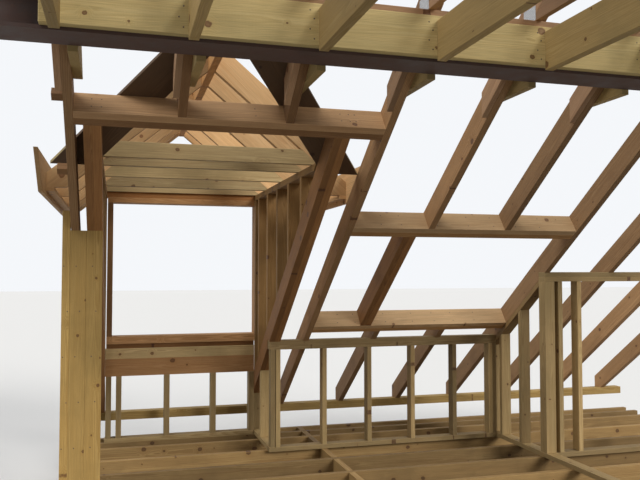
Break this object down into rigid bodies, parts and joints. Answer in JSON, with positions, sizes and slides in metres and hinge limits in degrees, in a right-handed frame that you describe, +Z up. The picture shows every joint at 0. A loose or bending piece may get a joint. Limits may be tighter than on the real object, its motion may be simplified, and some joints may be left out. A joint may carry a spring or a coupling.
{
  "type": "timber attic roof frame with gabled dormer",
  "caption": "Site-cut timber roof slope on a steel beam, with cap trusses above, a gabled dormer, a trimmed roof window opening, stud walls and a joisted floor.",
  "frame": {"origin": "centre of the whole frame's bounding box in plan, on the floor joists' underside", "axes": "+X along the eaves and the steel beam, +Y level from the room out to the eaves, +Z up"},
  "size_m": [6.1, 5.8348, 3.8782],
  "materials": {
    "steel_primer": "matt red-brown oxide primer, dusty",
    "galvanised_plate": "galvanised, dull, toothed",
    "ledger_timber": "sawn, pressure-treated, yellow-green",
    "truss_timber": "planed softwood, orange-brown",
    "rafter_timber": "sawn softwood, weathered brown",
    "trimmer_timber": "sawn softwood, pale tan",
    "stud_timber": "planed, pressure-treated, olive-yellow",
    "cheek_timber": "planed, pressure-treated",
    "dormer_timber": "sawn softwood, fresh and pale",
    "valley_timber": "sawn board, dark",
    "window_timber": "sawn softwood, red-brown",
    "post_timber": "planed, pressure-treated, yellow",
    "floor_timber": "sawn softwood, brown"
  },
  "bodies": {
    "root": {"beam_side_ledger": "ledger_timber", "beam_top_plate": "truss_timber", "cap_truss_back_chords": "truss_timber", "cap_truss_bottom_chords": "truss_timber", "cap_truss_front_chords": "truss_timber", "cap_truss_king_posts": "truss_timber", "cap_truss_nail_plates": "galvanised_plate", "ceiling_joist_stubs": "ledger_timber", "ceiling_joists": "ledger_timber", "cheek_plates": "cheek_timber", "cheek_studs": "cheek_timber", "dormer_ceiling_joists": "stud_timber", "dormer_fascias": "dormer_timber", "dormer_header_lower_ply": "rafter_timber", "dormer_header_upper_ply": "rafter_timber", "dormer_rafters": "dormer_timber", "dormer_ridge_board": "dormer_timber", "dormer_side_rafters_inner": "rafter_timber", "dormer_side_rafters_outer": "rafter_timber", "dormer_soffit_battens": "dormer_timber", "eaves_wall_plate": "post_timber", "floor_joists": "floor_timber", "floor_noggins": "floor_timber", "front_wall_rail": "stud_timber", "front_wall_sole_plate": "stud_timber", "front_wall_studs": "stud_timber", "front_wall_trimmer": "window_timber", "full_rafters": "rafter_timber", "knee_wall_end_stud": "stud_timber", "knee_wall_lower_head": "stud_timber", "knee_wall_sole_plate": "stud_timber", "knee_wall_studs": "stud_timber", "knee_wall_upper_head": "stud_timber", "panel_lower_head": "stud_timber", "panel_sole_plate": "stud_timber", "panel_studs": "stud_timber", "panel_upper_head": "stud_timber", "partition_raking_plate": "stud_timber", "partition_sole_plate": "stud_timber", "partition_studs": "stud_timber", "post_middle_stud": "post_timber", "post_outer_studs": "post_timber", "rafters_over_dormer": "rafter_timber", "rafters_over_window": "rafter_timber", "rafters_under_window": "rafter_timber", "return_wall_sole_plate": "stud_timber", "return_wall_studs": "stud_timber", "steel_beam": "steel_primer", "valley_board_left": "valley_timber", "valley_board_right": "valley_timber", "wall_noggins": "rafter_timber", "window_head": "window_timber", "window_head_plate": "window_timber", "window_jambs": "window_timber", "window_mid_rafter_left": "rafter_timber", "window_mid_rafter_right": "rafter_timber", "window_sill": "window_timber", "window_sill_packer": "window_timber", "window_trimmers_lower_ply": "trimmer_timber", "window_trimmers_upper_ply": "trimmer_timber"}
  },
  "joints": []
}
